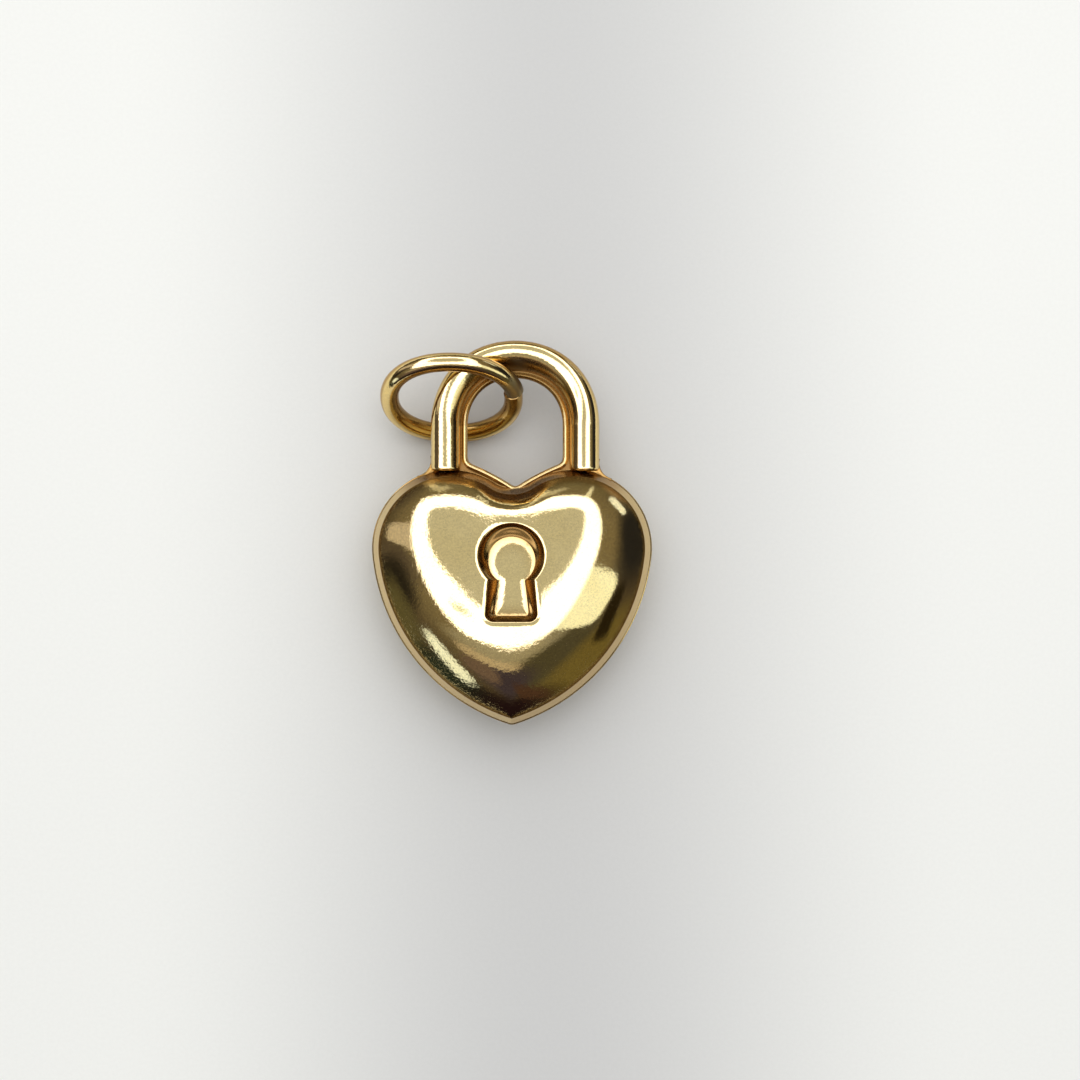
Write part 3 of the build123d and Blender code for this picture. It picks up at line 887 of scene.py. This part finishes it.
def paper_material(look):
    """Smooth pale paper with a faint tooth. A broad soft band of it, a little to the right of the pendant's
    middle, is greyer, and all of it darkens slightly towards the bottom: both are painted shadow. Where the
    gold mirrors it, it is a little darker still, as painted shade."""
    material = bpy.data.materials.new("pale_paper")
    n = Nodes(material)
    mm = n.object_mm()
    x, y, _ = n.add("SeparateXYZ", {0: mm}).outputs
    # painted shadow: a broad greyer band a little right of the middle, and darker towards the bottom
    band = n.span(n.maths("ABSOLUTE", n.maths("SUBTRACT", x, 2.0)), 24.0, 0.0)
    tooth = n.noise(mm, 5.0, 4, 0.6)
    low = n.span(y, 30.0, -34.0)
    darker = n.plus(n.times(low, 0.085), n.span(tooth, 0.3, 0.7, 0.0, 0.02))
    base = n.mix(band, tuple(look.paper), tuple(look.paper_shadow_band))
    base = n.mix(darker, base, (0.05, 0.05, 0.05))
    # painted shade in the reflections: the paper is darker where the gold mirrors it
    mirrored = n.add("LightPath").outputs["Is Glossy Ray"]
    base = n.mix(n.times(mirrored, 1 - look.paper_mirrored), base, (0.0, 0.0, 0.0))
    n.surface(tooth, PAPER_TOOTH_HEIGHT, 0.15, Base_Color=base, Roughness=0.75, Specular_IOR_Level=0.0)
    return material


# What hangs and stands round the table, as the gold shows it. Each patch is given by the slope of polished
# gold that mirrors it straight up: a surface that falls away by (slope right, slope up) shows its middle. Its
# outline is |x|^p + |y|^p = 1 with p 2 or 4, blurred by its softness. Later patches cover earlier ones.
ROOM_PATCHES = (
    # right, up, half width, half height, turn in degrees, softness, p, red, green, blue
    (0.000, 0.900, 0.525, 0.300, 0, 0.5, 2, 0.122, 0.115, 0.080),  # upper wall
    (-0.625, 0.725, 0.250, 0.200, 0, 0.5, 2, 0.032, 0.024, 0.029),  # dark, upper left
    (0.625, 0.825, 0.250, 0.175, -30, 0.4, 2, 0.380, 0.270, 0.190),  # pinkish tan, upper right
    (-0.037, 0.125, 0.575, 0.575, 0, 0.6, 2, 0.216, 0.191, 0.142),  # glow round the ceiling
    (0.825, 0.150, 0.300, 0.350, 10, 0.35, 2, 0.021, 0.021, 0.027),  # dark, right
    (-0.775, -0.025, 0.300, 0.112, 0, 0.5, 2, 0.093, 0.080, 0.077),  # mid brown, left
    (-0.850, -0.230, 0.260, 0.130, 25, 0.5, 2, 0.021, 0.019, 0.018),  # dark, left
    (-0.862, -0.425, 0.125, 0.188, 0, 0.6, 2, 0.102, 0.099, 0.062),  # olive, left below
    (-0.625, -0.750, 0.275, 0.125, -27, 0.5, 2, 0.018, 0.028, 0.025),  # greenish, lower left
    (0.400, -0.500, 0.325, 0.250, -15, 0.5, 2, 0.076, 0.073, 0.057),  # dark olive, lower right
    (0.712, -0.625, 0.350, 0.188, 30, 0.5, 2, 0.150, 0.127, 0.052),  # olive, lower right
    (-0.062, -0.562, 0.275, 0.138, 0, 0.5, 2, 0.051, 0.043, 0.080),  # blue grey, below
    (0.000, -0.850, 0.475, 0.138, 0, 0.5, 2, 0.014, 0.007, 0.012),  # dark red, below
    (0.250, -0.700, 0.213, 0.044, -32, 0.6, 2, 0.070, 0.040, 0.034),  # brown red, below
    (-0.300, -0.525, 0.125, 0.075, 0, 0.5, 2, 0.150, 0.115, 0.125),  # pinkish brown, below
    (-0.062, -0.300, 0.325, 0.075, 4, 0.5, 2, 0.352, 0.351, 0.344),  # pale gap below the ceiling
    (-0.163, -0.404, 0.213, 0.030, 0, 0.35, 4, 0.500, 0.450, 0.420),  # pinkish line, below
    (-0.587, 0.181, 0.237, 0.106, -6, 0.16, 4, 0.565, 0.536, 0.572),  # tan panel, left
    (0.712, -0.362, 0.060, 0.150, -5, 0.30, 4, 0.020, 0.015, 0.008),  # dark post, lower right
    (0.556, 0.519, 0.056, 0.119, 42, 0.3, 4, 1.000, 1.132, 1.427),  # lamp, upper right
    (-0.569, -0.581, 0.053, 0.156, 35, 0.3, 4, 1.000, 1.197, 1.514),  # lamp, lower left
    (-0.263, 0.794, 0.163, 0.033, -40, 0.6, 2, 0.900, 0.880, 0.800),  # thin lamp, above
    (-0.150, 0.725, 0.100, 0.037, 0, 0.6, 2, 0.515, 0.509, 0.477),  # its lower end
    (-0.825, 0.544, 0.056, 0.037, 0, 0.6, 2, 0.305, 0.271, 0.315),  # faint lamp, upper left
    (0.200, 0.637, 0.022, 0.125, -25, 0.6, 2, 0.900, 0.950, 1.000),  # streak, above
    (0.365, -0.135, 0.285, 0.125, -25, 0.08, 4, 1.100, 1.230, 1.330),  # pale yellow panel, right
    (-0.069, 0.163, 0.344, 0.419, 0, 0.07, 4, 2.700, 2.800, 3.500),  # lit ceiling
    (-0.150, -0.150, 0.169, 0.106, 6, 0.09, 4, 2.700, 2.800, 3.500),  # its lower corner
    (-0.213, -0.075, 0.043, 0.020, 10, 0.5, 2, 0.888, 1.048, 1.213),  # faint mark on it
    (-0.053, 0.232, 0.182, 0.175, 0, 0.09, 4, 0.570, 0.600, 0.640),  # what hangs before it
    (-0.038, 0.052, 0.106, 0.066, 0, 0.25, 2, 0.570, 0.600, 0.640),  # its lower tip
)
ROOM_GROUND = (0.076, 0.063, 0.050)     # between the patches


WINDOW = (0.05, 0.45, 0.89)             # the way towards the daylight that falls on the paper
WINDOW_SHARE, EVEN_SHARE = 2.40, 0.42   # how strong it is there, and from everywhere


def room_light(look):
    """The room as light. To polished gold its colour is a function of the direction (x, y, z), taken as the
    slope (x, y) / (1 + z) of the mirror that shows it to the camera, over which the room's patches are laid
    one on another. The paper gets soft daylight: even share + window share * cos(angle from the window)^5."""
    world = bpy.data.worlds.new("room")
    n = Nodes(world)
    direction = n.add("TexCoord").outputs["Generated"]
    x, y, z = n.add("SeparateXYZ", {0: direction}).outputs
    under = n.maths("MAXIMUM", n.plus(z, 1.0), 0.02)
    slope = n.add("CombineXYZ", {0: n.maths("DIVIDE", x, under), 1: n.maths("DIVIDE", y, under)})
    colour = ROOM_GROUND
    for u, v, wide, tall, turn, soft, power, *rgb in ROOM_PATCHES:
        lie = {"Location": (u, v, 0), "Rotation": (0, 0, math.radians(turn)), "Scale": (wide, tall, 1)}
        local = n.add("Mapping", {"Vector": slope.outputs[0], **lie}, vector_type="TEXTURE").outputs[0]
        if power == 4:
            local = n.add("VectorMath", {0: local, 1: local}, operation="MULTIPLY").outputs[0]
        far = n.add("VectorMath", {0: local, 1: local}, operation="DOT_PRODUCT").outputs["Value"]
        colour = n.mix(n.span(far, (1 + soft) ** power, (1 - soft) ** power), colour, tuple(rgb))
    room = n.add("Background", {"Color": colour, "Strength": 1.0}).outputs[0]
    facing = n.add("VectorMath", {0: direction, 1: WINDOW}, operation="DOT_PRODUCT")
    overhead = n.maths("POWER", n.maths("MAXIMUM", facing.outputs["Value"], 0.0), 5.0)
    strength = n.times(n.plus(n.times(overhead, WINDOW_SHARE), EVEN_SHARE), look.daylight)
    plain = n.add("Background", {"Color": (1, 1, 1, 1), "Strength": strength}).outputs[0]
    mirrored = n.add("LightPath").outputs["Is Glossy Ray"]
    both = n.add("MixShader", {0: mirrored, 1: plain, 2: room}).outputs[0]
    n.add("OutputWorld", {"Surface": both})
    return world


# ---- Operators ----

class PENDANT_OT_heart(bpy.types.Operator):
    """Build the puffed heart with its keyhole"""
    bl_idname = "pendant.heart"
    bl_label = "Heart"

    def execute(self, context):
        scene = context.scene
        shell = heart_shell(in_mm(scene.pendant_heart), in_mm(scene.pendant_keyhole))
        make_piece("padlock_heart", [shell], "heart_padlock",
                   gold_material("polished_gold_finish", scene.pendant_gold, 1.0))
        return {"FINISHED"}


class PENDANT_OT_shackle(bpy.types.Operator):
    """Build the shackle: bar, web and the corners outside its legs"""
    bl_idname = "pendant.shackle"
    bl_label = "Shackle"

    def execute(self, context):
        scene = context.scene
        s, heart = in_mm(scene.pendant_shackle), Heart(in_mm(scene.pendant_heart))
        shells = [bar_shell(s, heart.s.lobe_rise + heart.s.lobe_radius), web_shell(s)]
        shells += [shoulder_shell(s, heart, side) for side in (1, -1)]
        make_piece("padlock_shackle", shells, "heart_padlock",
                   gold_material("shackle_gold_finish", scene.pendant_gold, 1.0))
        return {"FINISHED"}


class PENDANT_OT_ring(bpy.types.Operator):
    """Build the oval jump ring"""
    bl_idname = "pendant.ring"
    bl_label = "Jump ring"

    def execute(self, context):
        scene = context.scene
        shell = ring_shell(in_mm(scene.pendant_ring), in_mm(scene.pendant_shackle))
        make_piece("oval_ring", [shell], "jump_ring",
                   gold_material("ring_gold_finish", scene.pendant_gold, 0.8))
        return {"FINISHED"}


class PENDANT_OT_stage(bpy.types.Operator):
    """Build the paper, the room's light and the camera"""
    bl_idname = "pendant.stage"
    bl_label = "Stage"

    def execute(self, context):
        scene = context.scene
        look = scene.pendant_stage
        half = 1.5
        x, y = np.meshgrid([-half, half], [-half, half])
        mesh = bpy.data.meshes.new("paper")
        mesh.from_pydata(np.stack([x, y, 0 * x], -1).reshape(-1, 3).tolist(), [], [(0, 1, 3, 2)])
        mesh.materials.append(paper_material(look))
        paper = bpy.data.objects.new("paper", mesh)
        scene.collection.objects.link(paper)
        scene.world = room_light(look)
        scene.world.cycles.sampling_method = "NONE"
        scene.view_settings.view_transform = "Standard"
        camera = bpy.data.objects.new("camera", bpy.data.cameras.new("camera"))
        camera.data.sensor_width = 36.0
        camera.data.lens = look.camera_lens
        camera.data.clip_start = 0.001
        camera.location = (look.camera_right, look.camera_up, look.camera_height)
        scene.collection.objects.link(camera)
        scene.camera = camera
        return {"FINISHED"}


class PENDANT_PT_panel(bpy.types.Panel):
    """The pendant's sizes, finishes and buttons"""
    bl_idname = "PENDANT_PT_panel"
    bl_label = "Pendant"
    bl_space_type = "VIEW_3D"
    bl_region_type = "UI"
    bl_category = "Pendant"

    def draw(self, context):
        for title, group, button in PARTS:
            box = self.layout.box()
            box.label(text=title)
            values = getattr(context.scene, group)
            for name in values.bl_rna.properties.keys():
                if name not in ("rna_type", "name"):
                    box.prop(values, name)
            if button:
                box.operator(button)


PARTS = (
    # title, property group on the scene, operator
    ("Heart", "pendant_heart", "pendant.heart"),
    ("Keyhole", "pendant_keyhole", None),
    ("Shackle", "pendant_shackle", "pendant.shackle"),
    ("Jump ring", "pendant_ring", "pendant.ring"),
    ("Gold", "pendant_gold", None),
    ("Stage", "pendant_stage", "pendant.stage"),
)
GROUPS = {
    "pendant_heart": HeartSizes,
    "pendant_keyhole": KeyholeSizes,
    "pendant_shackle": ShackleSizes,
    "pendant_ring": RingSizes,
    "pendant_gold": GoldLook,
    "pendant_stage": StageLook,
}
CLASSES = (*GROUPS.values(), PENDANT_OT_heart, PENDANT_OT_shackle, PENDANT_OT_ring, PENDANT_OT_stage,
           PENDANT_PT_panel)


def register():
    for cls in CLASSES:
        bpy.utils.register_class(cls)
    for name, cls in GROUPS.items():
        setattr(bpy.types.Scene, name, PointerProperty(type=cls))


def unregister():
    for name in GROUPS:
        delattr(bpy.types.Scene, name)
    for cls in reversed(CLASSES):
        bpy.utils.unregister_class(cls)


def main():
    register()
    bpy.ops.pendant.heart()
    bpy.ops.pendant.shackle()
    bpy.ops.pendant.ring()
    bpy.ops.pendant.stage()


if __name__ == "__main__":
    main()
